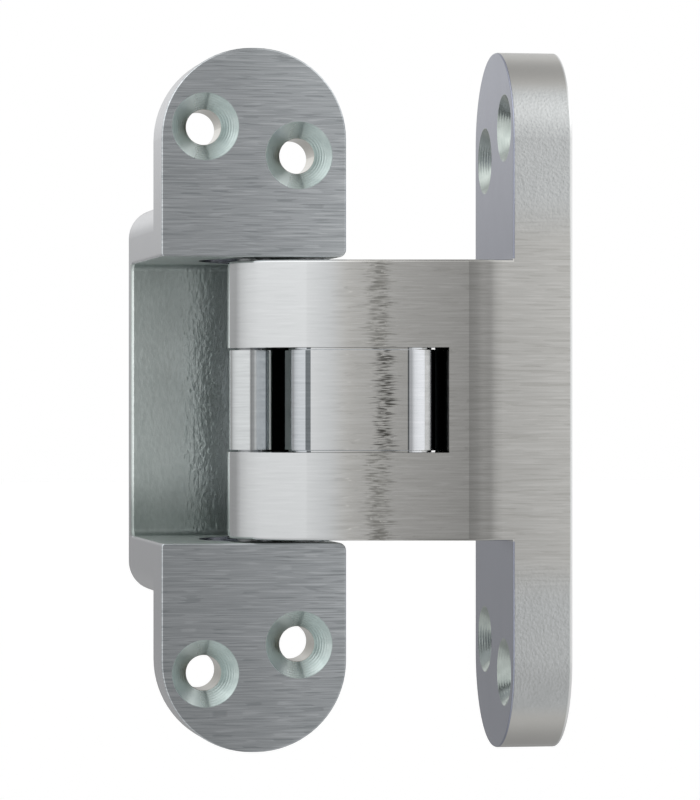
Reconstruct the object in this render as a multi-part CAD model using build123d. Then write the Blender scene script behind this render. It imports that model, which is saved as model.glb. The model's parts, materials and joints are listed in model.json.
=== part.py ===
"""Concealed hinge, shown fully open.

Millimetres, +Z up along the hinge pins. The frame's front face looks along -Y, and the open door
leaf's face looks along -X. The origin is the middle of the frame's outer pair of screw holes, on
the plates' back face, which seats in the door frame. Below, points are written from the middle of
the frame's front face instead, and every node is shifted to the origin when it is written.
"""
import math
import os

from build123d import *

os.makedirs("parts", exist_ok=True)

# Plates of the frame body and of the door leaf
leaf_width = 30.0
leaf_height = 113.2
plate_end_flat = 0.4
frame_plate_thickness = 10.5
door_plate_thickness = 9.7
plate_edge_radius = 0.25

# Countersunk screw holes, one pair near each long edge of a plate
outer_pair_offset = 7.9
outer_pair_half_spacing = 43.9
inner_pair_offset = 7.3
inner_pair_half_spacing = 39.4
screw_hole_radius = 2.85
countersink_radius = 5.4

# Box behind the frame's plates, and the pocket in it
box_height = 65.0
box_depth = 45.3
box_corner_margin = 4.5
box_back_radius = 1.2
pocket_height = 46.0
pocket_floor_depth = 40.5
pocket_corner_radius = 1.3
pocket_floor_radius = 1.2
pocket_lip_radius = 0.5
pocket_wall_thickness = 1.6
pocket_wall_setback = 16.5

# Where the link's two pins are, and how far the hinge opens
frame_pin_inset = 4.5
frame_pin_depth = 8.0
leaf_pin_edge_distance = 8.24
leaf_pin_face_distance = 15.7
closed_gap = 3.5
open_link_angle = -38.5
opening_angle = 90.0

# Arm of the door leaf, a bar that ends in a hook round the frame's pin
arm_height = 44.9
arm_thickness = 11.5
hook_outer_radius = 13.6
hook_inner_radius = 4.4
front_shoulder = 4.5
front_blend_radius = 25.0
root_fillet_radius = 4.0
arm_edge_radius = 0.4

# Slot between the arm's branches
slot_height = 16.85
slot_root_at_front = 9.75

# Link in the slot, a bar round two eyes with a nose and a heel that reach the arm's front plane
link_frame_eye_radius = 4.2
link_leaf_eye_radius = 4.2
link_nose_radius = 3.3
link_nose_offset = 0.65
link_heel_radius = 4.3
link_heel_offset = 0.25
link_edge_radius = 0.12
link_land_border = 0.6

# Pins, bushes, sleeve and rollers
pivot_pin_radius = 2.5
pivot_pin_seat = 5.0
pin_end_recess = 0.2
pin_end_chamfer = 0.3
bush_wall = 0.7
leaf_bush_length = 6.0
guide_pin_radius = 2.0
guide_pin_angle = 156.7
sleeve_wall = 1.45
roller_wall = 0.95
roller_length = 4.2
track_depth = 5.0
lead_in_widening = 0.95

# Named clearances
running_clearance = 0.05
slot_side_clearance = 0.32
slot_root_clearance = 0.3
track_side_clearance = 0.15
roller_end_clearance = 0.35
access_hole_clearance = 0.15
bore_end_clearance = 0.1

# Steps along the guide pin's path from open to closed, and those that the lead-in spans
track_steps = 12
lead_in_steps = 3

# Lengths that follow from the sizes above
half_width = leaf_width / 2
plate_end_radius = half_width - plate_end_flat
# What the box's rounding leaves of its walls above and below the pocket
box_corner_radius = (box_height - pocket_height) / 2 - box_corner_margin
half_pocket = pocket_height / 2
half_box = box_height / 2
half_slot = slot_height / 2
half_link = half_slot - slot_side_clearance
half_arm = arm_height / 2
bush_radius = pivot_pin_radius + running_clearance + bush_wall
sleeve_radius = guide_pin_radius + running_clearance + sleeve_wall
roller_radius = guide_pin_radius + running_clearance + roller_wall
track_radius = roller_radius + track_side_clearance
countersink_depth = countersink_radius - screw_hole_radius
# The link bears on the branches with low lands, which its bushes end flush with
half_lands = half_slot - running_clearance
# The sleeve on the guide pin lies flush with the hook's outer circle
guide_pin_reach = hook_outer_radius - sleeve_radius
# How far a cutting tool runs past the face it enters, and how far apart two places count as one
overrun = 1.0
same_place = 0.01


def polar(centre, radius, degrees):
    """The point at a distance and an angle from a centre, in the plan."""
    angle = math.radians(degrees)
    return (centre[0] + radius * math.cos(angle), centre[1] + radius * math.sin(angle))


def angle_between(start, end):
    """The angle in degrees of the line from start to end."""
    return math.degrees(math.atan2(end[1] - start[1], end[0] - start[0]))


# The frame's pin, and the leaf's pin with the hinge closed and with it open
frame_pin = (half_width - frame_pin_inset, frame_pin_depth)
leaf_pin_closed = (leaf_pin_edge_distance - half_width, leaf_pin_face_distance - closed_gap)
link_length = math.dist(frame_pin, leaf_pin_closed)
leaf_pin = polar(frame_pin, link_length, open_link_angle)
link_travel = angle_between(frame_pin, leaf_pin_closed) - open_link_angle - 360.0
# The way from the leaf's pin to the frame's with the hinge closed, as it lies in the open leaf
folded_link_angle = open_link_angle + 180.0 + link_travel + opening_angle

# Near corner of the open door plate, between its face and its near edge
leaf_corner = (leaf_pin[0] + leaf_pin_face_distance, leaf_pin[1] - leaf_pin_edge_distance)
# The arm is let into the door plate to the middle of the plate's thickness
inside_x = leaf_corner[0] + door_plate_thickness / 2

# The arm's front plane runs from the shoulder by the plate to the hook's outer circle
shoulder = (leaf_corner[0] - front_shoulder, leaf_corner[1])
tangent_turn = math.degrees(math.asin(hook_outer_radius / math.dist(shoulder, frame_pin)))
front_angle = angle_between(shoulder, frame_pin) + tangent_turn - 180.0
along_front = polar((0.0, 0.0), 1.0, front_angle)
front_normal = polar((0.0, 0.0), 1.0, front_angle - 90.0)

# The guide pin at the hook's tip
guide_pin = polar(frame_pin, guide_pin_reach, guide_pin_angle)


def from_front(along, inset):
    """A point given by its place along the front plane and its depth behind it."""
    depth = hook_outer_radius - inset
    x = frame_pin[0] + along * along_front[0] + depth * front_normal[0]
    y = frame_pin[1] + along * along_front[1] + depth * front_normal[1]
    return (x, y)


def place_along_front(point):
    """How far along the front plane a point lies, from the frame's pin."""
    return (point[0] - frame_pin[0]) * along_front[0] + (point[1] - frame_pin[1]) * along_front[1]


def carried_by_leaf(point, travel):
    """Where a point of the door leaf is at a travel from 0, open, to 1, closed."""
    pin = polar(frame_pin, link_length, open_link_angle + link_travel * travel)
    turned = angle_between(leaf_pin, point) - opening_angle * travel
    return polar(pin, math.dist(leaf_pin, point), turned)


def upright(sketch, low, high):
    """A plan outline made solid between two heights."""
    return extrude(sketch, amount=high - low).moved(Location((0, 0, low)))


def disc(centre, radius, low, high):
    """A round bar along Z."""
    return upright(Pos(centre[0], centre[1]) * Circle(radius), low, high)


def tube(centre, radius, bore_radius, low, high):
    """A round bar along Z with a bore."""
    bore = disc(centre, bore_radius, low - overrun, high + overrun)
    return disc(centre, radius, low, high) - bore


def round_pin(centre, radius, low, high):
    """A pin along Z with chamfered ends."""
    body = disc(centre, radius, low, high)
    return chamfer(body.edges().filter_by(GeomType.CIRCLE), pin_end_chamfer)


def plate(thickness):
    """A full-height plate with nearly half-round ends, from its front face at Y 0."""
    outline = RectangleRounded(leaf_width, leaf_height, plate_end_radius)
    return extrude(Plane.XZ * outline, amount=-thickness)


def with_rounded_front(body):
    """A body with all the rims of its front face rounded."""
    front = body.faces().filter_by(Plane.XZ).group_by(Axis.Y)[0]
    return fillet(front.edges(), plate_edge_radius)


def screw_space(x, z, thickness):
    """The space of one countersunk screw that enters a plate at its front face, Y 0."""
    upward = (Align.CENTER, Align.CENTER, Align.MIN)
    downward = (Align.CENTER, Align.CENTER, Align.MAX)
    shank = Cylinder(screw_hole_radius, thickness + overrun, align=upward)
    sink = Cone(countersink_radius, screw_hole_radius, countersink_depth, align=upward)
    mouth = Cylinder(countersink_radius, overrun, align=downward)
    return (shank + sink + mouth).moved(Location((x, 0, z), (-90, 0, 0)))


def screw_spaces(outer_side, thickness):
    """The four screws of a plate. The outer pair lies on the side that outer_side, 1 or -1, gives."""
    spaces = []
    for end in (-1, 1):
        outer_x = outer_side * outer_pair_offset
        inner_x = -outer_side * inner_pair_offset
        spaces.append(screw_space(outer_x, end * outer_pair_half_spacing, thickness))
        spaces.append(screw_space(inner_x, end * inner_pair_half_spacing, thickness))
    return spaces


def pocket_space():
    """The pocket between the plates, open at the front and the left, walled at the right."""
    left = -half_width - overrun
    right = half_width - pocket_wall_thickness
    plan = Polyline(
        (left, -overrun),
        (half_width + overrun, -overrun),
        (half_width + overrun, pocket_wall_setback),
        (right, pocket_wall_setback),
        (right, pocket_floor_depth),
        (left, pocket_floor_depth),
        close=True,
    )
    space = upright(make_face(plan), -half_pocket, half_pocket)
    floor_ends = space.faces().sort_by(Axis.Y)[-1].edges().filter_by(Axis.X)
    return fillet(floor_ends, pocket_floor_radius)


def box_block():
    """The box behind the frame's plates, with its long edges and its back rim rounded."""
    block = Pos(0, frame_plate_thickness, 0) * Box(
        leaf_width,
        box_depth - frame_plate_thickness,
        box_height,
        align=(Align.CENTER, Align.MIN, Align.CENTER),
    )
    block = fillet(block.edges().filter_by(Axis.Y), box_corner_radius)
    return fillet(block.faces().sort_by(Axis.Y)[-1].edges(), box_back_radius)


def pocketed_block():
    """The box and the plate in one, parted into two face plates by the pocket."""
    block = plate(frame_plate_thickness) + box_block() - pocket_space()
    lip = []
    for edge in block.edges().filter_by(Axis.Z):
        middle = edge.center()
        if abs(middle.X + half_width) < same_place and abs(middle.Y - pocket_floor_depth) < same_place:
            lip.append(edge)
    block = fillet(lip, pocket_lip_radius)

    corners = []
    for edge in block.edges().filter_by(Axis.Y):
        middle = edge.center()
        if abs(abs(middle.X) - half_width) < same_place and abs(abs(middle.Z) - half_pocket) < same_place:
            corners.append(edge)
    return with_rounded_front(fillet(corners, pocket_corner_radius))


def track_outline():
    """The plan of one guide track: the guide pin's path, widened by the track's radius.

    The path turns sharply near its open end, where the track is opened out to a round lead-in.
    """
    path = [carried_by_leaf(guide_pin, step / track_steps) for step in range(track_steps + 1)]
    ahead = [path[min(i + 1, track_steps)] for i in range(track_steps + 1)]
    behind = [path[max(i - 1, 0)] for i in range(track_steps + 1)]
    headings = [angle_between(start, end) for start, end in zip(behind, ahead)]
    outer = [polar(point, track_radius, turn + 90) for point, turn in zip(path, headings)]
    inner = [polar(point, track_radius, turn - 90) for point, turn in zip(path, headings)]
    inner = inner[lead_in_steps:]
    closed_end = polar(path[-1], track_radius, headings[-1])
    edges = [
        Spline(*outer),
        ThreePointArc(outer[-1], closed_end, inner[-1]),
        Spline(*inner),
        Line(inner[0], outer[0]),
    ]
    lead_in = path[lead_in_steps // 2]
    return make_face(edges) + Pos(lead_in[0], lead_in[1]) * Circle(track_radius + lead_in_widening)


def frame_body():
    """The frame's casting: two face plates, the box with its pocket, tracks, bores and screw holes."""
    body = pocketed_block()
    track_top = half_pocket + track_depth
    track = track_outline()
    body -= upright(track, half_pocket - overrun, track_top)
    body -= upright(track, -track_top, overrun - half_pocket)

    # The pin drops into the deeper lower bore, and is then drawn up into the upper one
    upper_bore_top = half_pocket + pivot_pin_seat + bore_end_clearance
    lower_bore_bottom = -half_pocket - 2 * pivot_pin_seat - bore_end_clearance
    body -= disc(frame_pin, pivot_pin_radius, half_pocket - overrun, upper_bore_top)
    body -= disc(frame_pin, pivot_pin_radius, lower_bore_bottom, overrun - half_pocket)

    # The guide pin is driven in through the upper end of the box, with the hinge closed
    access_radius = guide_pin_radius + access_hole_clearance
    access = carried_by_leaf(guide_pin, 1.0)
    body -= disc(access, access_radius, track_top - overrun, half_box + overrun)
    for space in screw_spaces(-1, frame_plate_thickness):
        body -= space
    return body


def arm_outline():
    """The plan of the arm, from inside the door plate to the round tip of the hook."""
    middle_radius = (hook_outer_radius + hook_inner_radius) / 2
    tip_radius = (hook_outer_radius - hook_inner_radius) / 2
    back_depth = hook_outer_radius - arm_thickness

    # The front: near edge of the plate, blend, plane, and the hook's outer circle
    blend_centre_x = leaf_corner[0] - front_shoulder + front_blend_radius * math.tan(
        math.radians(-front_angle / 2)
    )
    blend_centre = (blend_centre_x, leaf_corner[1] + front_blend_radius)
    blend_start = (blend_centre[0], leaf_corner[1])
    blend_middle = polar(blend_centre, front_blend_radius, front_angle / 2 - 90)
    blend_end = polar(blend_centre, front_blend_radius, front_angle - 90)
    hook_start = from_front(0.0, 0.0)
    tip_start_turn = guide_pin_angle - 360.0
    hook_middle_turn = (front_angle - 90 + tip_start_turn) / 2
    hook_end = polar(frame_pin, hook_outer_radius, tip_start_turn)

    # The round tip, the hook's inner circle and the arm's back plane
    tip_centre = polar(frame_pin, middle_radius, guide_pin_angle)
    tip_end = polar(tip_centre, tip_radius, guide_pin_angle - 90)
    inner_start = polar(frame_pin, hook_inner_radius, tip_start_turn)
    back_turn = math.degrees(math.acos(back_depth / hook_inner_radius))
    inner_end_turn = front_angle - 90 + back_turn
    inner_middle = polar(frame_pin, hook_inner_radius, (tip_start_turn + inner_end_turn) / 2)
    inner_end = polar(frame_pin, hook_inner_radius, inner_end_turn)

    # The root fillet touches the plate's face and the back plane
    root_x = leaf_corner[0] - root_fillet_radius
    root_depth = back_depth - root_fillet_radius
    root_rise = (root_depth - (root_x - frame_pin[0]) * front_normal[0]) / front_normal[1]
    root_centre = (root_x, frame_pin[1] + root_rise)
    root_start = polar(root_centre, root_fillet_radius, front_angle - 90)
    root_middle = polar(root_centre, root_fillet_radius, (front_angle - 90) / 2)
    root_end = (leaf_corner[0], root_centre[1])

    edges = [
        Line((inside_x, leaf_corner[1]), blend_start),
        ThreePointArc(blend_start, blend_middle, blend_end),
        Line(blend_end, hook_start),
        ThreePointArc(hook_start, polar(frame_pin, hook_outer_radius, hook_middle_turn), hook_end),
        ThreePointArc(hook_end, tip_end, inner_start),
        ThreePointArc(inner_start, inner_middle, inner_end),
        Line(inner_end, root_start),
        ThreePointArc(root_start, root_middle, root_end),
        Line(root_end, (inside_x, root_centre[1])),
        Line((inside_x, root_centre[1]), (inside_x, leaf_corner[1])),
    ]
    return make_face(edges)


def slot_space():
    """The slot between the branches. Its root keeps clear of the link's flank in the closed hinge."""
    front_x = leaf_corner[0] - slot_root_at_front
    front_y = leaf_corner[1] - overrun
    reach = max(link_leaf_eye_radius, link_frame_eye_radius) + slot_root_clearance
    root = polar(leaf_pin, reach, folded_link_angle - 90)
    far = polar(root, leaf_width, folded_link_angle)
    far_left = frame_pin[0] - hook_outer_radius - overrun
    plan = Polyline(
        (far_left, front_y), (front_x, front_y), root, far, (far_left, far[1]), close=True
    )
    return upright(make_face(plan), -half_slot, half_slot)


def with_rounded_rims(arm):
    """The arm with the rims of its ends rounded, first round the hook and then along the back.

    Each run is picked by its one arc, and the rounding follows the smooth edges on from there. The
    runs meet in a sharp corner, where rounding both at once fails for some sizes.
    """
    for radius in (hook_outer_radius, root_fillet_radius):
        rims = []
        for edge in arm.edges().filter_by(GeomType.CIRCLE):
            at_end = abs(abs(edge.center().Z) - half_arm) < same_place
            if at_end and abs(edge.radius - radius) < same_place:
                rims.append(edge)
        arm = fillet(rims, arm_edge_radius)
    return arm


def door_leaf():
    """The door's casting: the plate, and in one piece with it the two-branch arm."""
    arm = upright(arm_outline(), -half_arm, half_arm)
    arm = with_rounded_rims(arm)
    leaf_plate = with_rounded_front(plate(door_plate_thickness))
    leaf_plate = fillet(leaf_plate.faces().sort_by(Axis.Y)[-1].edges(), plate_edge_radius)
    for space in screw_spaces(1, door_plate_thickness):
        leaf_plate -= space
    plate_place = Location((leaf_corner[0], leaf_corner[1] + half_width, 0), (0, 0, -90))
    body = leaf_plate.moved(plate_place) + arm - slot_space()
    body -= disc(leaf_pin, pivot_pin_radius, -half_arm - overrun, half_arm + overrun)
    return body - disc(guide_pin, guide_pin_radius, -half_arm - overrun, half_arm + overrun)


def link_outline(border):
    """The plan of the link, drawn in by a border: two eyes, and a front on the arm's front plane."""
    nose = from_front(link_nose_offset, link_nose_radius)
    heel = from_front(place_along_front(leaf_pin) + link_heel_offset, link_heel_radius)
    rounds = [
        (frame_pin, link_frame_eye_radius),
        (leaf_pin, link_leaf_eye_radius),
        (nose, link_nose_radius),
        (heel, link_heel_radius),
    ]
    edges = []
    for centre, radius in rounds:
        edges += (Pos(centre[0], centre[1]) * Circle(radius - border)).edges()
    return make_hull(edges)


def centre_link():
    """The link between the pins, with a land at each end that bears on a branch of the arm."""
    body = upright(link_outline(0.0), -half_link, half_link)
    rims = [edge for edge in body.edges() if abs(abs(edge.center().Z) - half_link) < same_place]
    body = fillet(rims, link_edge_radius)
    body += upright(link_outline(link_land_border), -half_lands, half_lands)
    for pin in (frame_pin, leaf_pin):
        body -= disc(pin, bush_radius, -half_lands - overrun, half_lands + overrun)
    return body


def leaf_bush(side):
    """One bush of the leaf's pin, in the link's upper end for side 1, the lower for side -1."""
    inner = side * (half_lands - leaf_bush_length)
    outer = side * half_lands
    bore = pivot_pin_radius + running_clearance
    return tube(leaf_pin, bush_radius, bore, min(inner, outer), max(inner, outer))


def track_roller(side):
    """One roller on the guide pin's end, in the upper track for side 1 or the lower for side -1."""
    near = side * (half_pocket + roller_end_clearance)
    far = side * (half_pocket + roller_end_clearance + roller_length)
    bore = guide_pin_radius + running_clearance
    return tube(guide_pin, roller_radius, bore, min(near, far), max(near, far))


def build_nodes():
    """Every node by name, placed from the middle of the frame's front face."""
    pin_reach = half_pocket + pivot_pin_seat
    guide_reach = half_pocket + roller_end_clearance + roller_length + pin_end_recess
    leaf_pin_reach = half_arm - pin_end_recess
    bush_bore = pivot_pin_radius + running_clearance
    sleeve_bore = guide_pin_radius + running_clearance
    return {
        "frame_body": frame_body(),
        "door_leaf": door_leaf(),
        "centre_link": centre_link(),
        "frame_pivot_pin": round_pin(frame_pin, pivot_pin_radius, -pin_reach, pin_reach),
        "leaf_pivot_pin": round_pin(leaf_pin, pivot_pin_radius, -leaf_pin_reach, leaf_pin_reach),
        "guide_pin": round_pin(guide_pin, guide_pin_radius, -guide_reach, guide_reach),
        "guide_sleeve": tube(guide_pin, sleeve_radius, sleeve_bore, -half_link, half_link),
        "upper_track_roller": track_roller(1),
        "lower_track_roller": track_roller(-1),
        "link_frame_bush": tube(frame_pin, bush_radius, bush_bore, -half_lands, half_lands),
        "upper_leaf_bush": leaf_bush(1),
        "lower_leaf_bush": leaf_bush(-1),
    }


origin_shift = Location((outer_pair_offset, -frame_plate_thickness, 0))
for name, node in build_nodes().items():
    export_step(node.moved(origin_shift), os.path.join("parts", name + ".step"))
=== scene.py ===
"""Looks of the concealed hinge: satin-plated castings, a brushed link, steel pins and bronze bushes.

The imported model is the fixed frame. This script dresses its solids, lights them and sets the camera.
Everything is in metres in the model's own frame. Finishes read the place on the object in millimetres.
"""
import json
import logging
import math
from dataclasses import dataclass, field
from enum import Enum

import bmesh
import bpy
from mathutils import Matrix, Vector

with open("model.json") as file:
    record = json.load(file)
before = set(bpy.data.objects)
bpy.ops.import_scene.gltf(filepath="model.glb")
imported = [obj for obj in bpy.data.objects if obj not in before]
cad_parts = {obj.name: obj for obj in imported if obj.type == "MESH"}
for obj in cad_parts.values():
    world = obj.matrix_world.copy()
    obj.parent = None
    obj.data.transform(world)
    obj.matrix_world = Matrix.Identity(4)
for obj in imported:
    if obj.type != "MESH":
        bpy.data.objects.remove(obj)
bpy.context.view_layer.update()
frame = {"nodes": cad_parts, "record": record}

log = logging.getLogger("hinge")

MM = 0.001
# How far a screw hole's bore and countersink reach from its axis, in millimetres, with a little to spare
BORE_REACH = 2.9
COUNTERSINK_REACH = 5.45
Socket = bpy.types.NodeSocket


def linear(hex_colour: str) -> tuple[float, float, float, float]:
    """Turns an sRGB hex colour to the linear values that shaders take.

    Args:
        hex_colour: six hex digits after a hash sign.

    Returns:
        Linear red, green and blue, and an alpha of 1.
    """
    digits = hex_colour.lstrip("#")
    shares = [int(digits[place:place + 2], 16) / 255 for place in (0, 2, 4)]
    red, green, blue = [s / 12.92 if s <= 0.04045 else ((s + 0.055) / 1.055) ** 2.4 for s in shares]
    return (red, green, blue, 1.0)


def add_node(tree: bpy.types.NodeTree, kind: str, inputs: dict | None = None, output: int = 0,
             **settings: object) -> Socket:
    """Adds a node, sets its properties, and links or fills its inputs.

    Args:
        tree: the node tree that the node goes into.
        kind: the node's type name.
        inputs: for a socket's name or number, the socket that feeds it or its plain value.
        output: the number of the output to return.
        settings: the node's own properties.

    Returns:
        The output socket asked for, or None if the node has no outputs.
    """
    node = tree.nodes.new(kind)
    for name, value in settings.items():
        setattr(node, name, value)
    for key, value in (inputs or {}).items():
        if isinstance(value, bpy.types.NodeSocket):
            tree.links.new(value, node.inputs[key])
        else:
            node.inputs[key].default_value = value
    return node.outputs[output] if node.outputs else None


def empty_tree(owner: bpy.types.Material | bpy.types.World) -> bpy.types.NodeTree:
    """Gives a material or the world a node tree with nothing in it."""
    owner.use_nodes = True
    owner.node_tree.nodes.clear()
    return owner.node_tree


def put_in_scene(name: str, data: bpy.types.ID) -> bpy.types.Object:
    """Makes an object of a mesh, a lamp or a camera and links it to the scene."""
    made = bpy.data.objects.new(name, data)
    bpy.context.scene.collection.objects.link(made)
    return made


class Side(Enum):
    """Which side of a limit a mask takes in."""

    BELOW = (1.0, 0.0)
    ABOVE = (0.0, 1.0)


class Layer(Enum):
    """How far each pattern's noise is shifted, so that no two patterns match."""

    LINES = 0.0
    CLOUDS = 3.0
    GRAINS = 7.0
    RINGS = 11.0
    RAGGED = 17.0
    HAIRS = 31.0


@dataclass
class Bench:
    """The node tree of one finish, with the place on the object that its patterns read.

    Attributes:
        material: the material that is being made.
        place: position in the object's own frame at rest, in millimetres.
        facing: direction that the surface faces, in the object's own frame.
    """

    material: bpy.types.Material
    tree: bpy.types.NodeTree = field(init=False)
    place: Socket = field(init=False)
    facing: Socket = field(init=False)
    x: Socket = field(init=False)
    y: Socket = field(init=False)
    z: Socket = field(init=False)
    height: Socket = field(init=False)

    def __post_init__(self) -> None:
        """Clears the tree and reads the place once."""
        self.tree = empty_tree(self.material)
        metres = add_node(self.tree, "ShaderNodeTexCoord", output=3)
        self.facing = metres.node.outputs["Normal"]
        self.place = add_node(self.tree, "ShaderNodeVectorMath", {0: metres, "Scale": 1 / MM}, operation="SCALE")
        self.x = add_node(self.tree, "ShaderNodeSeparateXYZ", {0: self.place})
        self.y = self.x.node.outputs["Y"]
        self.z = self.x.node.outputs["Z"]
        self.height = add_node(self.tree, "ShaderNodeMath", {0: self.z}, operation="ABSOLUTE")

    def mask(self, value: Socket, limit: float, side: Side, softness: float = 0.1) -> Socket:
        """A mask that is 1 on one side of a limit.

        Args:
            value: what is compared.
            limit: where the mask is a half.
            side: the side where it is 1.
            softness: how wide the change is, in the value's unit.

        Returns:
            The mask's socket.
        """
        start, end = side.value
        inputs = {"Value": value, "From Min": limit - softness / 2, "From Max": limit + softness / 2}
        inputs.update({"To Min": start, "To Max": end})
        return add_node(self.tree, "ShaderNodeMapRange", inputs, interpolation_type="SMOOTHSTEP")

    def sum(self, value: Socket | float, factor: Socket | float, added: Socket | float) -> Socket:
        """A value times a factor, with another added."""
        return add_node(self.tree, "ShaderNodeMath", {0: value, 1: factor, 2: added}, operation="MULTIPLY_ADD")

    def both(self, first: Socket, second: Socket) -> Socket:
        """The mask of what two masks share."""
        return add_node(self.tree, "ShaderNodeMath", {0: first, 1: second}, operation="MULTIPLY")

    def toward(self, direction: tuple[float, float, float]) -> Socket:
        """How far the surface faces a direction, 1 if straight at it."""
        return add_node(
            self.tree, "ShaderNodeVectorMath", {0: self.facing, 1: direction}, output=1, operation="DOT_PRODUCT"
        )

    def noise(self, spans: tuple[float, float, float], detail: float = 2.0, rough: float = 0.5,
              layer: Layer = Layer.LINES) -> Socket:
        """Noise with its own span along each axis.

        Args:
            spans: how many millimetres one cell of the noise takes along X, Y and Z.
            detail: how many finer layers are added.
            rough: how strong the finer layers are.
            layer: the pattern that the noise is for.

        Returns:
            The noise's socket, about 0 to 1.
        """
        stretch = tuple(1 / span for span in spans)
        stretched = add_node(
            self.tree,
            "ShaderNodeVectorMath",
            {0: self.place, 1: stretch, 2: (layer.value,) * 3},
            operation="MULTIPLY_ADD",
        )
        inputs = {"Vector": stretched, "Scale": 1.0, "Detail": detail, "Roughness": rough}
        return add_node(self.tree, "ShaderNodeTexNoise", inputs)


@dataclass(frozen=True)
class Relief:
    """A surface with no marks of its own, and the base of those that have some."""

    def draw(self, bench: Bench) -> tuple[Socket | float, Socket | float]:
        """Draws the relief.

        Args:
            bench: the finish that is being made.

        Returns:
            Height in millimetres, and a tone that is 0 in the dark marks and 1 in the light ones.
        """
        return 0.0, 0.5


@dataclass(frozen=True)
class Brushed(Relief):
    """Lines of a fine abrasive belt that ran level round the piece.

    Real lines of a 180 grit belt are about 0.08 mm apart. They are drawn as coarse as the
    render can show, with a few longer and deeper ones among them.
    """

    line_length: float = 9.0
    line_spacing: float = 0.2
    line_depth: float = 0.0035
    hair_length: float = 5.0
    hair_spacing: float = 0.36
    hair_share: float = 0.34
    hair_depth: float = 0.005
    contrast: float = 1.5
    hair_softness: float = 0.08
    hair_contrast: float = 0.35

    def draw(self, bench: Bench) -> tuple[Socket | float, Socket | float]:
        """Draws even fine lines, and hairlines where a coarse noise passes a threshold."""
        fine = bench.noise((self.line_length, self.line_length, self.line_spacing), 1.0, 0.5)
        hair = bench.noise((self.hair_length, self.hair_length, self.hair_spacing), 0.0, 0.5, Layer.HAIRS)
        deep = bench.mask(hair, self.hair_share, Side.BELOW, self.hair_softness)
        proud = bench.mask(hair, 1.0 - self.hair_share, Side.ABOVE, self.hair_softness)
        shallow = bench.sum(fine, self.line_depth, 0.0)
        height = bench.sum(deep, -self.hair_depth, shallow)
        spread = bench.sum(fine, self.contrast, 0.5 - self.contrast / 2)
        tone = bench.sum(proud, self.hair_contrast, bench.sum(deep, -self.hair_contrast, spread))
        return height, tone


@dataclass(frozen=True)
class CastGrain(Relief):
    """The skin that a die leaves on zinc: low grains with soft edges, a little longer along Z."""

    grain_width: float = 0.55
    grain_length: float = 0.95
    grain_depth: float = 0.03
    cloud_size: float = 7.0
    grain_share: float = 0.45

    def draw(self, bench: Bench) -> tuple[Socket | float, Socket | float]:
        """Draws the grains, and broad clouds for the tone."""
        grains = bench.noise((self.grain_width, self.grain_width, self.grain_length), 2.0, 0.45, Layer.GRAINS)
        clouds = bench.noise((self.cloud_size,) * 3, 2.0, 0.5, Layer.CLOUDS)
        height = add_node(bench.tree, "ShaderNodeMath", {0: grains, 1: self.grain_depth}, operation="MULTIPLY")
        tone = add_node(bench.tree, "ShaderNodeMix", {0: self.grain_share, 2: clouds, 3: grains})
        return height, tone


@dataclass(frozen=True)
class Turned(Relief):
    """Rings that a countersinking bit leaves round a screw hole.

    The bit's rings are about 0.1 mm apart. They are drawn 0.36 mm apart, so that they show.
    """

    distance: Socket
    ring_pitch: float = 0.36
    ring_depth: float = 0.006
    wander_size: float = 2.4

    def draw(self, bench: Bench) -> tuple[Socket | float, Socket | float]:
        """Draws the rings by the distance from the hole's axis, broken by a noise."""
        wander = bench.noise((self.wander_size,) * 3, 2.0, 0.5, Layer.RINGS)
        turns = add_node(
            bench.tree,
            "ShaderNodeMath",
            {0: self.distance, 1: math.tau / self.ring_pitch, 2: wander},
            operation="MULTIPLY_ADD",
        )
        wave = add_node(bench.tree, "ShaderNodeMath", {0: turns}, operation="SINE")
        broken = add_node(bench.tree, "ShaderNodeMath", {0: wave, 1: wander}, operation="MULTIPLY")
        height = add_node(bench.tree, "ShaderNodeMath", {0: broken, 1: self.ring_depth}, operation="MULTIPLY")
        return height, wander


@dataclass(frozen=True)
class Zone:
    """A part of a surface that was worked one way.

    Attributes:
        dark: sRGB hex colour of the relief's dark marks.
        light: sRGB hex colour of its light ones.
        gloss: roughness of the light marks.
        haze: how much rougher the dark marks are.
        relief: the marks.
    """

    dark: str
    light: str
    gloss: float
    haze: float = 0.0
    relief: Relief = Relief()


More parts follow.
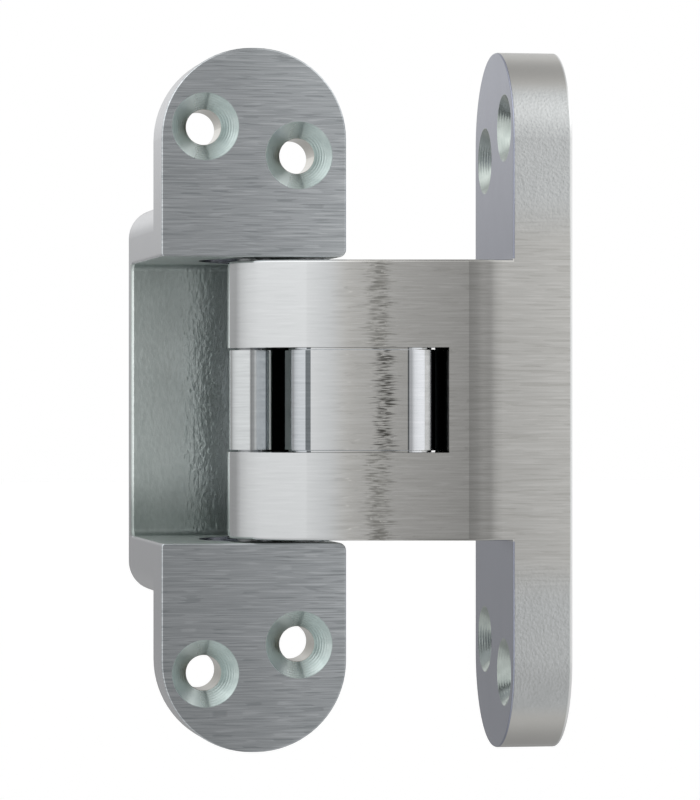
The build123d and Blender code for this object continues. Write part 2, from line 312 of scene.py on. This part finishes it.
@dataclass(frozen=True)
class MetalFinish:
    """A metal whose zones were worked in different ways.

    Attributes:
        name: the material's name.
        base: the zone that lies wherever no other does.
        anisotropy: how much more the level lines spread the light upright than sideways, 0 to 1.
    """

    name: str
    base: Zone
    anisotropy: float = 0.0

    def lay(self, bench: Bench, zones: list[tuple[Zone, Socket]]) -> bpy.types.Material:
        """Lays the zones over the base and ends in one metal shader.

        Args:
            bench: the finish that is being made.
            zones: each zone with its mask, later ones over earlier ones.

        Returns:
            The material.
        """
        tree = bench.tree
        colour, roughness, height = self.worked(bench, self.base)
        for zone, mask in zones:
            zone_colour, zone_roughness, zone_height = self.worked(bench, zone)
            colour = add_node(
                tree, "ShaderNodeMix", {0: mask, 6: colour, 7: zone_colour}, output=2, data_type="RGBA"
            )
            roughness = add_node(tree, "ShaderNodeMix", {0: mask, 2: roughness, 3: zone_roughness})
            height = add_node(tree, "ShaderNodeMix", {0: mask, 2: height, 3: zone_height})
        normal = add_node(tree, "ShaderNodeBump", {"Height": height, "Distance": MM, "Strength": 1.0})
        upright = add_node(tree, "ShaderNodeCombineXYZ", {2: 1.0})
        metal = add_node(
            tree,
            "ShaderNodeBsdfPrincipled",
            {
                "Base Color": colour,
                "Metallic": 1.0,
                "Roughness": roughness,
                "Anisotropic": self.anisotropy,
                "Tangent": upright,
                "Normal": normal,
            },
        )
        add_node(tree, "ShaderNodeOutputMaterial", {0: metal})
        return bench.material

    def worked(self, bench: Bench, zone: Zone) -> tuple[Socket, Socket, Socket | float]:
        """The colour, roughness and height of one zone.

        Args:
            bench: the finish that is being made.
            zone: the zone.

        Returns:
            Their three sockets, the height's in millimetres.
        """
        height, tone = zone.relief.draw(bench)
        colours = {0: tone, 6: linear(zone.dark), 7: linear(zone.light)}
        colour = add_node(bench.tree, "ShaderNodeMix", colours, output=2, data_type="RGBA")
        rough_values = {0: tone, 2: zone.gloss + zone.haze, 3: zone.gloss}
        roughness = add_node(bench.tree, "ShaderNodeMix", rough_values)
        return colour, roughness, height


def dress(node_name: str, material: bpy.types.Material, note: str) -> None:
    """Gives a CAD node's object a material and reports it.

    Args:
        node_name: the CAD node.
        material: what it is dressed in.
        note: the piece in plain words.
    """
    piece = frame["nodes"][node_name]
    for slot in piece.material_slots:
        slot.link = "OBJECT"
        slot.material = material
    log.info("%s: %s, in %s", node_name, note, material.name)


def screw_rows(across: str) -> list[tuple[float, float]]:
    """Where the screw holes of one plate are, read from the record's mounts.

    Args:
        across: the start of the mounts' names, frame or leaf.

    Returns:
        For each pair of holes, its place across the plate and half its spacing, in millimetres.
    """
    rows = []
    for mount in frame["record"]["mounts"]:
        if mount["name"].startswith(across) and mount["kind"] == "bolt_pattern":
            x, y, _ = mount["pos_m"]
            place = x if across == "frame" else y
            rows.append((place / MM, mount["dims"]["spacing_y_mm"] / 2))
    return rows


def hole_distance(bench: Bench, across: Socket, rows: list[tuple[float, float]]) -> Socket:
    """Distance from the nearest screw hole's axis.

    Args:
        bench: the finish that is being made.
        across: the place across the plate.
        rows: the pairs of holes.

    Returns:
        The distance in millimetres.
    """
    spot = add_node(bench.tree, "ShaderNodeCombineXYZ", {0: across, 1: bench.height})
    nearest = None
    for place, half_spacing in rows:
        inputs = {0: spot, 1: (place, half_spacing, 0.0)}
        distance = add_node(bench.tree, "ShaderNodeVectorMath", inputs, output=1, operation="DISTANCE")
        if nearest is None:
            nearest = distance
        else:
            nearest = add_node(bench.tree, "ShaderNodeMath", {0: nearest, 1: distance}, operation="MINIMUM")
    return nearest


def holes_painted_highlight_and_tint(bench: Bench, distance: Socket, holes: Socket) -> list[tuple[Zone, Socket]]:
    """The brighter parts of the screw holes: a painted highlight on each countersink's side that faces +X, and the
    bores' tint.

    Args:
        bench: the finish that is being made.
        distance: the distance from the nearest hole's axis.
        holes: the mask of the holes.

    Returns:
        Each zone with its mask.
    """
    # Painted highlight: paler and rougher than the rest of the cone on the countersink's side that faces +X
    side_painted_highlight = Zone("#D3DEDD", "#F0F6F6", 0.3, 0.08, Turned(distance, ring_depth=0.01))
    # Drilled metal that chromate tinted: a pale straw yellow
    drilled = Zone("#DEDBCF", "#EEECE4", 0.16, 0.06, Turned(distance))
    # The side of each countersink that faces +X, where the painted highlight goes
    side = bench.mask(bench.toward((1.0, 0.0, 0.0)), 0.3, Side.ABOVE, 1.1)
    bore = bench.mask(distance, BORE_REACH, Side.BELOW, 0.06)
    return [(side_painted_highlight, bench.both(holes, side)), (drilled, bore)]


@dataclass(frozen=True)
class ScratchAndReflectionBand:
    """An upright band of scratches with ragged edges, where the belt chattered, darkened as a painted reflection of
    a dark stripe.

    Attributes:
        start: where the band starts, along X in millimetres.
        end: where it ends.
        raggedness: how far the scratches' ends spread, in millimetres.
        softness: how wide the change at each edge is.
    """

    start: float
    end: float
    raggedness: float = 6.0
    softness: float = 1.8

    def mask(self, bench: Bench) -> Socket:
        """The band's mask in a finish."""
        ragged = bench.noise((9.0, 9.0, 0.3), 1.0, 0.6, Layer.RAGGED)
        place = bench.sum(ragged, self.raggedness, bench.x)
        middle = self.raggedness / 2
        after = bench.mask(place, self.start + middle, Side.ABOVE, self.softness)
        before = bench.mask(place, self.end + middle, Side.BELOW, self.softness)
        return bench.both(after, before)


@dataclass
class FrameCasting:
    """The casting in the door frame: two brushed plates and the box with its cast pocket.

    Places, heights and widths are in millimetres.

    Attributes:
        front_depth: Y just behind the plates' faces.
        cone_depth: Y where the countersinks end.
        half_pocket: half the pocket's height.
        floor_depth: Y just behind the pocket's floor.
        wall_side: X just behind the pocket's right wall.
        corner_height: height at which the painted shade in the pocket's corners is at half strength.
        corner_fade: how wide that change is.
        corner_tilt: how much lower than the upper ones the painted shade of the lower corners starts, as a share.
        shade_side: X from where the pocket is painted black as shade.
        shade_depth: Y from where it is painted black as shade.
    """

    front_depth: float = -10.2
    cone_depth: float = -7.8
    half_pocket: float = 23.05
    floor_depth: float = 32.0
    wall_side: float = 22.1
    corner_height: float = 19.0
    corner_fade: float = 12.0
    corner_tilt: float = -0.2
    shade_side: float = 15.6
    shade_depth: float = 8.0

    # Zinc alloy, die cast and satin plated: a cool grey with a soft sheen
    skin: Zone = Zone("#BFC1C6", "#CDCFD4", 0.2, 0.06, CastGrain(grain_depth=0.004))
    # The same, brushed level on the plates' faces: fine bright and dark lines
    brushed: Zone = Zone("#A8ADB0", "#D3D7DA", 0.13, 0.05, Brushed())
    # The same as it left the die, under the plating: a greenish grey with soft grains
    pocket: Zone = Zone("#C9D2CF", "#EBF2F0", 0.27, 0.1, CastGrain(grain_depth=0.045))
    # The same towards the pocket's corners, darker: painted shade where the corners lie in shadow
    corners: Zone = Zone("#8A9390", "#BAC3C0", 0.3, 0.1, CastGrain(grain_depth=0.045))
    # Painted shade: black deep in the pocket behind the arm, where the arm's shadow falls
    painted_depth_shade: Zone = Zone("#0C0F0F", "#1A1E1E", 0.4, 0.1, CastGrain())

    def dress(self) -> None:
        """Makes the finish and gives it to the casting."""
        finish = MetalFinish("zinc_alloy_die_cast_satin_plated", self.skin, 1.0)
        bench = Bench(bpy.data.materials.new(finish.name))
        distance = hole_distance(bench, bench.x, screw_rows("frame"))
        front = bench.mask(bench.y, self.front_depth, Side.BELOW, 0.2)
        within = bench.both(
            bench.mask(bench.y, self.floor_depth, Side.BELOW),
            bench.mask(bench.x, self.wall_side, Side.BELOW),
        )
        pocket = bench.both(within, bench.mask(bench.height, self.half_pocket, Side.BELOW, 0.1))
        near_face = bench.mask(bench.y, self.cone_depth, Side.BELOW)
        holes = bench.both(near_face, bench.mask(distance, COUNTERSINK_REACH, Side.BELOW, 0.15))
        # Painted shade: it starts lower at the lower corners, so they are darker than the upper ones
        tilted = bench.sum(bench.z, self.corner_tilt, bench.height)
        corners = bench.both(pocket, bench.mask(tilted, self.corner_height, Side.ABOVE, self.corner_fade))
        # The pocket's far right part behind the arm, where the painted shade goes
        far_right = bench.both(
            bench.mask(bench.x, self.shade_side, Side.ABOVE, 2.4),
            bench.mask(bench.y, self.shade_depth, Side.ABOVE, 4.0),
        )
        painted_depth_shade = bench.both(pocket, far_right)
        # Cut metal under bright plating: a green grey that mirrors more sharply
        turned = Zone("#A3B1AF", "#D2DDDB", 0.2, 0.08, Turned(distance))
        zones = [(self.brushed, front), (self.pocket, pocket), (self.corners, corners)]
        zones += [(self.painted_depth_shade, painted_depth_shade), (turned, holes)]
        zones += holes_painted_highlight_and_tint(bench, distance, holes)
        dress("frame_body", finish.lay(bench, zones), "plates, box and pocket in one casting")


@dataclass
class DoorLeaf:
    """The casting in the door: the plate, and the two-branch arm that ends in a hook.

    Places, heights and widths are in millimetres.

    Attributes:
        face_side: X just behind the plate's open face.
        cone_side: X where the countersinks end.
        rim_side: X from where the plate's outer rim has a painted highlight.
        half_arm: half the arm's height.
        brushed_height: height up to which the plate's edge is brushed.
        brushed_fade: how wide that change is.
        smooth_height: height from where the plate's round ends are smooth.
        smooth_fade: how wide that change is.
        buffed_side: X up to which the hook is buffed.
        half_slot: half the slot's height.
        root_side: X just behind the slot's root.
        root_depth: Y from where the slot's root is painted dark as shade.
        scratches: the band of scratches on the arm's front, darkened as a painted reflection.
    """

    face_side: float = 48.25
    cone_side: float = 50.7
    rim_side: float = 57.3
    half_arm: float = 22.6
    brushed_height: float = 29.0
    brushed_fade: float = 9.0
    smooth_height: float = 50.0
    smooth_fade: float = 3.0
    buffed_side: float = 20.5
    half_slot: float = 8.4
    root_side: float = 38.2
    root_depth: float = -17.3
    scratches: ScratchAndReflectionBand = ScratchAndReflectionBand(25.2, 28.4)

    # Zinc alloy, die cast and satin plated: low grains that glitter on the plate's edge
    skin: Zone = Zone("#BCBFBF", "#DADCDC", 0.2, 0.08, CastGrain(0.4, 0.4, grain_depth=0.035))
    # The same, ground smooth at the round ends: an even warm grey
    smooth: Zone = Zone("#C9C8C4", "#D2D1CD", 0.12, 0.04, CastGrain(0.4, 0.4, grain_depth=0.002))
    # The same, brushed level over the arm and the middle of the edge: fine lines
    brushed: Zone = Zone("#C3C2BE", "#D8D7D4", 0.09, 0.04, Brushed(line_depth=0.002, hair_depth=0.003, contrast=1.2))
    # The same round the hook, buffed after the belt: the lines are all but gone
    buffed: Zone = Zone("#CED0D1", "#D4D6D7", 0.09, 0.02, Brushed(line_depth=0.0003, hair_depth=0.0, contrast=0.8))
    # The same, where the belt chattered: short dark scratches side by side, darker still as a painted reflection of
    # a dark stripe
    chatter: Brushed = Brushed(
        line_length=2.6,
        line_depth=0.003,
        hair_length=1.6,
        hair_spacing=0.22,
        hair_share=0.42,
        hair_depth=0.004,
        contrast=2.0,
    )
    chatter_and_painted_reflection: Zone = Zone("#91908B", "#D2D1CD", 0.1, 0.06, chatter)
    # The plate's open face: an even bluish grey with the faintest grain
    face: Zone = Zone("#969AA8", "#A3A7B5", 0.22, 0.05, CastGrain(grain_depth=0.003))
    # Painted highlight on the plate's outer rim, where its rounding catches the light
    painted_rim_highlight: Zone = Zone("#EBECEC", "#F7F8F8", 0.12, 0.05, CastGrain(grain_depth=0.003))
    # Painted shade: a dark teal black on the slot's root, deep beside the link
    root: Zone = Zone("#26383B", "#3A4C4F", 0.3, 0.1, CastGrain(grain_depth=0.003))

    def dress(self) -> None:
        """Makes the finish and gives it to the casting."""
        finish = MetalFinish("zinc_alloy_die_cast_belt_brushed", self.skin, 1.0)
        bench = Bench(bpy.data.materials.new(finish.name))
        distance = hole_distance(bench, bench.y, screw_rows("leaf"))
        ends = bench.mask(bench.height, self.smooth_height, Side.ABOVE, self.smooth_fade)
        middle = bench.mask(bench.height, self.brushed_height, Side.BELOW, self.brushed_fade)
        near_face = bench.mask(bench.x, self.face_side, Side.BELOW, 0.15)
        off_arm = bench.mask(bench.height, self.half_arm, Side.ABOVE, 0.1)
        face = bench.both(near_face, off_arm)
        scratches = self.scratches.mask(bench)
        buffed = bench.mask(bench.x, self.buffed_side, Side.BELOW, 4.0)
        # The outer rim's front-facing rounding, where the painted highlight goes
        rim = bench.both(
            bench.mask(bench.x, self.rim_side, Side.ABOVE, 0.2),
            bench.mask(bench.toward((0.0, -1.0, 0.0)), 0.2, Side.ABOVE),
        )
        in_slot = bench.both(
            bench.mask(bench.height, self.half_slot, Side.BELOW, 0.03),
            bench.mask(bench.x, self.root_side, Side.BELOW),
        )
        # Painted shade on the slot's root
        root = bench.both(in_slot, bench.mask(bench.y, self.root_depth, Side.ABOVE, 1.0))
        cone = bench.mask(bench.x, self.cone_side, Side.BELOW)
        holes = bench.both(bench.mask(distance, COUNTERSINK_REACH, Side.BELOW, 0.15), bench.both(off_arm, cone))
        # Cut metal under bright plating, as round the frame's holes
        turned = Zone("#9AA39F", "#CDD5D0", 0.2, 0.08, Turned(distance))
        zones = [(self.smooth, ends), (self.brushed, middle), (self.buffed, buffed), (self.chatter_and_painted_reflection, scratches)]
        zones += [(self.face, face), (turned, holes), (self.root, root), (self.painted_rim_highlight, rim)]
        dress("door_leaf", finish.lay(bench, zones), "plate and forked arm in one casting")


@dataclass
class LinkAndPins:
    """The link between the two pins, with its bushes, the pins, the sleeve and the rollers.

    Attributes:
        front_angle: direction that the link's front faces, in degrees from +X.
        front_facing: how squarely a surface must face that way to be the front, 1 if straight.
        crease_turn: how far the middle of the painted dark crease is turned from it towards the nose, in degrees.
        crease_facing: how squarely a surface must face the crease's middle.
        flank_facing: how squarely a surface must face the slot's root to get the flank's black painted shade.
        buffed_side: X up to which the front is buffed, in millimetres.
        heel_side: X from where the heel has its painted highlight.
        scratches: the band of scratches on the front, darkened as a painted reflection.
    """

    front_angle: float = -102.115
    front_facing: float = 0.9988
    crease_turn: float = 5.3
    crease_facing: float = 0.9863
    flank_facing: float = 0.86
    buffed_side: float = 20.5
    heel_side: float = 30.0
    scratches: ScratchAndReflectionBand = ScratchAndReflectionBand(26.6, 28.9)

    # Steel, polished: bright and only a little clouded
    faint: Brushed = Brushed(line_depth=0.0003, hair_depth=0.0, contrast=1.0)
    polished: Zone = Zone("#BDC1C5", "#CBCFD3", 0.1, 0.04, faint)
    # The same at the heel, much paler than the nose: a painted highlight on the rounding
    bright: Zone = Zone("#E6E9ED", "#F3F5F9", 0.1, 0.04, faint)
    # The same beside the front, darker: painted shade along the crease where the rounding meets the front
    crease_painted_shade: Zone = Zone("#5F6467", "#74797C", 0.16, 0.04, faint)
    # The same, brushed level on the front: a warm grey with fine lines
    brushed: Zone = Zone("#C6C5C1", "#D6D5D2", 0.08, 0.04, Brushed(line_depth=0.002, hair_depth=0.002, contrast=1.2))
    # The same, where the belt chattered: short dark scratches side by side, darker still as a painted reflection of
    # a dark stripe
    chatter: Brushed = Brushed(
        line_length=2.0,
        line_depth=0.003,
        hair_length=1.4,
        hair_spacing=0.22,
        hair_share=0.44,
        hair_depth=0.004,
        contrast=2.4,
    )
    chatter_and_painted_reflection: Zone = Zone("#555450", "#D0CFCB", 0.1, 0.06, chatter)
    # Painted shade: black on the flank by the slot's root, which lies in shadow
    flank_painted_shade: Zone = Zone("#101415", "#1C2122", 0.3, 0.1, CastGrain(grain_depth=0.003))
    # Ground steel: a plain grey with the finest lines round it
    ground: Zone = Zone("#9C9EA0", "#B4B6B8", 0.24, 0.06, Brushed())
    # Hardened steel, polished: a bright mirror that is hardly clouded
    mirror: Zone = Zone("#C6C9CA", "#D0D3D4", 0.1, 0.04, Brushed(line_depth=0.0002, hair_depth=0.0))
    # Tin bronze, turned: a dull brown yellow
    bronze: Zone = Zone("#8E6B3F", "#B08A58", 0.32, 0.08, Brushed(line_spacing=0.3))

    def dress(self) -> None:
        """Makes the finishes and gives them to the pieces."""
        self.dress_link()
        pin = MetalFinish("steel_ground", self.ground, 0.5)
        sleeve = MetalFinish("steel_polished", self.mirror)
        bush = MetalFinish("bronze_turned", self.bronze)
        pairs = [
            ("frame_pivot_pin", pin, "the link's pin in the frame"),
            ("leaf_pivot_pin", pin, "the link's pin in the door leaf"),
            ("guide_pin", pin, "the pin at the tip of the hook"),
            ("guide_sleeve", sleeve, "the sleeve on the guide pin"),
            ("link_frame_bush", bush, "the link's bush on the frame's pin"),
            ("upper_leaf_bush", bush, "the link's upper bush on the leaf's pin"),
            ("lower_leaf_bush", bush, "the link's lower bush on the leaf's pin"),
        ]
        made: dict[str, bpy.types.Material] = {}
        for node_name, finish, note in pairs:
            if finish.name not in made:
                made[finish.name] = finish.lay(Bench(bpy.data.materials.new(finish.name)), [])
            dress(node_name, made[finish.name], note)
        acetal = self.acetal()
        for side in ("upper", "lower"):
            dress(f"{side}_track_roller", acetal, f"the roller in the {side} track")

    def dress_link(self) -> None:
        """The link: a brushed front between polished roundings."""
        finish = MetalFinish("steel_polished_and_brushed", self.polished, 1.0)
        bench = Bench(bpy.data.materials.new(finish.name))
        turn = math.radians(self.front_angle)
        facing = bench.toward((math.cos(turn), math.sin(turn), 0.0))
        front = bench.mask(facing, self.front_facing, Side.ABOVE, 0.001)
        # The painted dark crease is wider on the nose's side, so it is told by a direction that is turned that way
        tilt = turn - math.radians(self.crease_turn)
        beside = bench.toward((math.cos(tilt), math.sin(tilt), 0.0))
        crease = bench.mask(beside, self.crease_facing, Side.ABOVE, 0.004)
        buffed = bench.both(front, bench.mask(bench.x, self.buffed_side, Side.BELOW, 4.0))
        scratches = bench.both(front, self.scratches.mask(bench))
        # The flank by the slot's root, painted black as shade
        side = bench.toward((-math.sin(turn), math.cos(turn), 0.0))
        flank = bench.mask(side, self.flank_facing, Side.ABOVE, 0.3)
        # The heel's painted highlight
        heel = bench.mask(bench.x, self.heel_side, Side.ABOVE, 1.0)
        zones = [(self.bright, heel), (self.crease_painted_shade, crease), (self.brushed, front)]
        zones += [(DoorLeaf.buffed, buffed), (self.chatter_and_painted_reflection, scratches), (self.flank_painted_shade, flank)]
        dress("centre_link", finish.lay(bench, zones), "the link in the arm's slot")

    def acetal(self) -> bpy.types.Material:
        """Acetal, turned: an off-white plastic with a low waxy sheen and fine rings."""
        bench = Bench(bpy.data.materials.new("acetal_turned"))
        tone = bench.noise((3.0, 3.0, 0.3), 2.0)
        colours = {0: tone, 6: linear("#D2CFC4"), 7: linear("#E2DFD6")}
        colour = add_node(bench.tree, "ShaderNodeMix", colours, output=2, data_type="RGBA")
        rough = add_node(bench.tree, "ShaderNodeMix", {0: tone, 2: 0.5, 3: 0.42})
        inputs = {"Base Color": colour, "Metallic": 0.0, "IOR": 1.48, "Roughness": rough}
        plastic = add_node(bench.tree, "ShaderNodeBsdfPrincipled", inputs)
        add_node(bench.tree, "ShaderNodeOutputMaterial", {0: plastic})
        return bench.material


@dataclass
class PhotoCamera:
    """The camera at the photograph's viewing angle."""

    place_mm: tuple[float, float, float] = (-90.7, -665.7, 0.0)
    heading: float = 9.888
    lens_mm: float = 185.5
    sensor_mm: float = 36.0
    nearest: float = 0.01

    def build(self) -> None:
        """Makes the camera and hands it to the scene."""
        data = bpy.data.cameras.new("photo_camera")
        data.lens = self.lens_mm
        data.sensor_width = self.sensor_mm
        data.clip_start = self.nearest
        camera = put_in_scene("photo_camera", data)
        camera.location = Vector(self.place_mm) * MM
        camera.rotation_euler = (math.radians(90), 0.0, math.radians(-self.heading))
        bpy.context.scene.camera = camera


@dataclass(frozen=True)
class SoftLamp:
    """A square soft lamp.

    Attributes:
        name: the lamp's name.
        place: where it stands, in metres.
        power: its power in watts.
        size: its side in metres.
    """

    name: str
    place: tuple[float, float, float]
    power: float
    size: float = 0.5

    def build(self, target: tuple[float, float, float]) -> None:
        """Makes the lamp and points it at a place in metres."""
        data = bpy.data.lights.new(self.name, "AREA")
        data.size = self.size
        data.energy = self.power
        lamp = put_in_scene(self.name, data)
        lamp.location = self.place
        aim = Vector(target) - Vector(self.place)
        lamp.rotation_euler = aim.to_track_quat("-Z", "Y").to_euler()


@dataclass
class LightTent:
    """A light tent round the object, a pale floor below it and two soft lamps.

    The tent is what polished metal mirrors. Its cloth is bright at the left, grey round the lens
    and half bright at the right, and brighter above than below. It isn't part of the object and
    isn't seen by the camera.

    Attributes:
        centre: the tent's middle, which the lamps point at, in metres.
        radius: the tent's radius in metres.
        back_start: Y from where the tent's rise turns to the one at the back, in metres.
        back_end: Y from where it is the one at the back.
        floor_drop: how far the floor lies below the object's middle, in metres.
        floor_reach: half the floor's side in metres.
        floor_lift: the light that the floor adds where the camera or a mirror sees it.
        world_level: how bright the world lights the object, where 1 is the white that is seen.
        lamps: the two lamps.
        round_levels: for an angle from the front towards +X, in degrees, how bright the tent is.
        rise_front: for an angle above the level, in degrees, the factor on that at the front.
        rise_back: the same at the back.
    """

    centre: tuple[float, float, float] = (0.025, -0.0005, 0.0)
    radius: float = 0.6
    back_start: float = 0.3
    back_end: float = 0.5
    floor_drop: float = 0.61
    floor_reach: float = 30.0
    floor_lift: float = 0.3
    world_level: float = 0.75
    lamps: tuple[SoftLamp, ...] = (
        SoftLamp("overhead_lamp", (-0.25, -0.35, 0.75), 2.5),
        SoftLamp("side_lamp", (0.8, -0.45, 0.35), 1.5),
    )
    round_levels: tuple[tuple[float, float], ...] = (
        (-180.0, 0.5),
        (-164.0, 0.5),
        (-134.0, 0.5),
        (-120.0, 0.74),
        (-104.0, 0.9),
        (-84.0, 1.0),
        (-70.0, 1.02),
        (-16.0, 1.04),
        (-15.0, 1.02),
        (-14.75, 0.93),
        (-14.45, 0.68),
        (-14.2, 0.62),
        (-13.7, 0.56),
        (-13.2, 0.47),
        (-12.8, 0.5),
        (-11.8, 0.48),
        (-10.9, 0.41),
        (-9.0, 0.29),
        (-5.5, 0.34),
        (-0.5, 0.42),
        (5.0, 0.4),
        (7.0, 0.47),
        (9.5, 0.62),
        (13.6, 0.62),
        (15.2, 0.73),
        (18.0, 0.77),
        (35.0, 0.88),
        (70.0, 0.85),
        (120.0, 0.72),
        (164.0, 0.5),
        (180.0, 0.5),
    )
    rise_front: tuple[tuple[float, float], ...] = (
        (-90.0, 0.74),
        (-40.0, 0.76),
        (-14.0, 0.8),
        (-5.0, 0.9),
        (0.0, 1.0),
        (5.0, 1.06),
        (15.0, 1.08),
        (24.0, 1.62),
        (44.0, 1.65),
        (60.0, 1.05),
        (90.0, 0.55),
    )
    rise_back: tuple[tuple[float, float], ...] = (
        (-90.0, 0.5),
        (-30.0, 0.8),
        (-8.0, 0.74),
        (-5.0, 0.7),
        (0.0, 0.84),
        (5.0, 1.0),
        (9.0, 1.65),
        (30.0, 1.5),
        (60.0, 1.05),
        (90.0, 0.55),
    )

    def build(self) -> None:
        """Makes the tent, the floor, the lamps and the world."""
        tent = self.tent()
        floor = self.floor()
        for lamp in self.lamps:
            lamp.build(self.centre)
        self.world()
        log.info("studio: %s, %s and %d lamps", tent.name, floor.name, len(self.lamps))

    def tent(self) -> bpy.types.Object:
        """The tent, a round shell that only mirrors see."""
        mesh = bpy.data.meshes.new("light_tent")
        form = bmesh.new()
        bmesh.ops.create_uvsphere(form, u_segments=96, v_segments=48, radius=self.radius)
        form.to_mesh(mesh)
        form.free()
        mesh.materials.append(self.tent_cloth())
        tent = put_in_scene("light_tent", mesh)
        tent.location = self.centre
        tent.visible_camera = False
        tent.visible_diffuse = False
        tent.visible_shadow = False
        return tent

    def tent_cloth(self) -> bpy.types.Material:
        """The lit cloth of the tent, graded round the object and dimmer towards the floor."""
        material = bpy.data.materials.new("tent_cloth_lit")
        tree = empty_tree(material)
        spot = add_node(tree, "ShaderNodeTexCoord", output=3)
        x = add_node(tree, "ShaderNodeSeparateXYZ", {0: spot})
        depth = x.node.outputs["Y"]
        height = x.node.outputs["Z"]
        ahead = add_node(tree, "ShaderNodeMath", {0: depth, 1: -1.0}, operation="MULTIPLY")
        angle = add_node(tree, "ShaderNodeMath", {0: x, 1: ahead}, operation="ARCTAN2")
        turn = add_node(tree, "ShaderNodeMath", {0: angle, 1: 1 / math.tau, 2: 0.5}, operation="MULTIPLY_ADD")
        stops = [(degrees / 360 + 0.5, level) for degrees, level in self.round_levels]
        round_level = self.graded(tree, turn, stops)
        share = add_node(
            tree, "ShaderNodeMath", {0: height, 1: 0.5 / self.radius, 2: 0.5}, operation="MULTIPLY_ADD"
        )
        rises = []
        for levels in (self.rise_front, self.rise_back):
            stops = [(math.sin(math.radians(degrees)) / 2 + 0.5, level) for degrees, level in levels]
            rises.append(self.graded(tree, share, stops))
        limits = {"Value": depth, "From Min": self.back_start, "From Max": self.back_end}
        behind = add_node(tree, "ShaderNodeMapRange", limits)
        rise = add_node(tree, "ShaderNodeMix", {0: behind, 2: rises[0], 3: rises[1]})
        light = add_node(tree, "ShaderNodeEmission", {"Color": round_level, "Strength": rise})
        add_node(tree, "ShaderNodeOutputMaterial", {0: light})
        return material

    def graded(self, tree: bpy.types.NodeTree, value: Socket, stops: list[tuple[float, float]]) -> Socket:
        """A grey that follows a list of levels.

        Args:
            tree: the node tree that it goes into.
            value: the place along the list, 0 to 1.
            stops: places and their levels, in rising order.

        Returns:
            The grey's socket.
        """
        grey = add_node(tree, "ShaderNodeValToRGB", {0: value})
        ramp = grey.node.color_ramp
        ramp.elements.remove(ramp.elements[0])
        for number, (place, level) in enumerate(stops):
            stop = ramp.elements[0] if number == 0 else ramp.elements.new(place)
            stop.position = place
            stop.color = (level, level, level, 1.0)
        return grey

    def floor(self) -> bpy.types.Object:
        """A plain pale floor, white to the camera and with the object's shadow on it."""
        mesh = bpy.data.meshes.new("floor")
        signs = [(-1, -1), (1, -1), (1, 1), (-1, 1)]
        corners = [(x * self.floor_reach, y * self.floor_reach, -self.floor_drop) for x, y in signs]
        mesh.from_pydata(corners, [], [(0, 1, 2, 3)])
        material = bpy.data.materials.new("floor_matt_white")
        tree = empty_tree(material)
        seen = add_node(tree, "ShaderNodeLightPath")
        glossy = seen.node.outputs["Is Glossy Ray"]
        either = add_node(tree, "ShaderNodeMath", {0: seen, 1: glossy}, operation="ADD")
        lift = add_node(tree, "ShaderNodeMath", {0: either, 1: self.floor_lift}, operation="MULTIPLY")
        inputs = {
            "Base Color": linear("#F4F4F4"),
            "Roughness": 0.9,
            "Emission Color": (1.0, 1.0, 1.0, 1.0),
            "Emission Strength": lift,
        }
        surface = add_node(tree, "ShaderNodeBsdfPrincipled", inputs)
        add_node(tree, "ShaderNodeOutputMaterial", {0: surface})
        mesh.materials.append(material)
        return put_in_scene("floor", mesh)

    def world(self) -> None:
        """A white background, and a plain level of light from all round."""
        world = bpy.data.worlds.new("studio")
        bpy.context.scene.world = world
        tree = empty_tree(world)
        seen = add_node(tree, "ShaderNodeLightPath")
        outputs = seen.node.outputs
        either = add_node(tree, "ShaderNodeMath", {0: seen, 1: outputs["Is Glossy Ray"]}, operation="MAXIMUM")
        shown = add_node(
            tree, "ShaderNodeMath", {0: either, 1: outputs["Is Transmission Ray"]}, operation="MAXIMUM"
        )
        level = add_node(tree, "ShaderNodeMix", {0: shown, 2: self.world_level, 3: 1.0})
        sky = add_node(tree, "ShaderNodeBackground", {"Color": (1.0, 1.0, 1.0, 1.0), "Strength": level})
        add_node(tree, "ShaderNodeOutputWorld", {0: sky})


def main() -> None:
    """Builds the studio and dresses each sub-assembly in order."""
    logging.basicConfig(level=logging.INFO, format="%(name)s: %(message)s")
    bpy.context.scene.view_settings.view_transform = "Standard"
    PhotoCamera().build()
    LightTent().build()
    for assembly in (FrameCasting(), DoorLeaf(), LinkAndPins()):
        assembly.dress()


if __name__ == "__main__":
    main()
